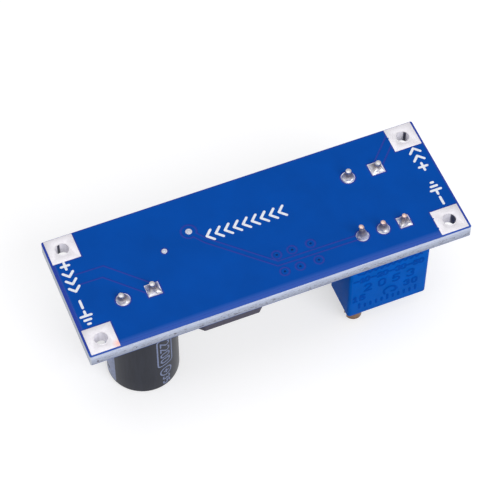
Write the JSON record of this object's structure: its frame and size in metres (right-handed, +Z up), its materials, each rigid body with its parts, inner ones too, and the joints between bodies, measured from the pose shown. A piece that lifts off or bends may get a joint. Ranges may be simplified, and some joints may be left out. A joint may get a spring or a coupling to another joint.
{
  "type": "buck converter module",
  "caption": "Adjustable step-down converter board: can capacitors, inductor, regulator and a multi-turn trimmer under a board with a plated wire hole in each corner.",
  "frame": {"origin": "under the middle of the board, on the surface that the capacitors' ends stand on", "axes": "+X along the board to its input end, +Y to the board's far long side, +Z up out of the solder side"},
  "size_m": [0.045, 0.016, 0.0159],
  "materials": {
    "board_laminate": "gloss",
    "tinned_copper": "satin",
    "tinned_wire": "satin",
    "tinned_strip": "satin",
    "solder": "satin",
    "can_aluminium": "satin",
    "printed_sleeve": "gloss",
    "bung_rubber": "matte",
    "foil_roll": "matte",
    "trimmer_plastic": "satin",
    "trimmer_seal": "matte",
    "screw_brass": "satin",
    "clip_steel": "satin",
    "ring_rubber": "satin",
    "rotor_plastic": "matte",
    "contact_alloy": "satin",
    "track_ceramic": "matte",
    "ferrite": "matte",
    "winding_copper": "gloss",
    "moulded_epoxy": "matte",
    "chip_ceramic": "satin",
    "resistor_glaze": "satin",
    "chip_metal": "satin"
  },
  "bodies": {
    "module": {"printed_circuit_board": "board_laminate", "input_plus_pad": "tinned_copper", "input_ground_pad": "tinned_copper", "output_plus_pad": "tinned_copper", "output_ground_pad": "tinned_copper", "lead_hole_linings": "tinned_copper", "vias": "tinned_copper", "component_pads": "tinned_copper", "output_capacitor_can": "can_aluminium", "output_capacitor_sleeve": "printed_sleeve", "output_capacitor_bung": "bung_rubber", "output_capacitor_winding": "foil_roll", "output_capacitor_leads": "tinned_wire", "input_capacitor_can": "can_aluminium", "input_capacitor_sleeve": "printed_sleeve", "input_capacitor_bung": "bung_rubber", "input_capacitor_winding": "foil_roll", "input_capacitor_leads": "tinned_wire", "trimmer_housing": "trimmer_plastic", "trimmer_base": "trimmer_seal", "trimmer_screw_clip": "clip_steel", "trimmer_element": "track_ceramic", "trimmer_pins": "tinned_wire", "inductor_core": "ferrite", "inductor_shield": "ferrite", "inductor_winding": "winding_copper", "inductor_terminals": "tinned_strip", "regulator_body": "moulded_epoxy", "regulator_heat_tab": "tinned_strip", "regulator_leads": "tinned_strip", "diode_body": "moulded_epoxy", "diode_terminals": "tinned_strip", "chip_capacitor_bodies": "chip_ceramic", "chip_capacitor_ends": "chip_metal", "chip_resistor_bodies": "resistor_glaze", "chip_resistor_ends": "chip_metal", "lead_solder_joints": "solder", "surface_solder_joints": "solder"},
    "adjusting_screw": {"trimmer_screw": "screw_brass", "trimmer_o_ring": "ring_rubber"},
    "rotor": {"trimmer_rotor": "rotor_plastic", "trimmer_wiper": "contact_alloy"}
  },
  "joints": [
    {"name": "adjusting_screw_turn", "type": "hinge", "parent": "module", "child": "adjusting_screw", "pos_m": [0.00966, -0.00578, 0.0073], "axis": [0, 0, -1], "range_deg": [-4500, 4500]},
    {"name": "rotor_turn", "type": "hinge", "parent": "module", "child": "rotor", "pos_m": [0.01389, -0.00455, 0.00737], "axis": [0, -1, 0], "range_deg": [-126, 126]}
  ],
  "couplings": [
    {"joint": "rotor_turn", "follows": "adjusting_screw_turn", "ratio": -0.027778}
  ]
}
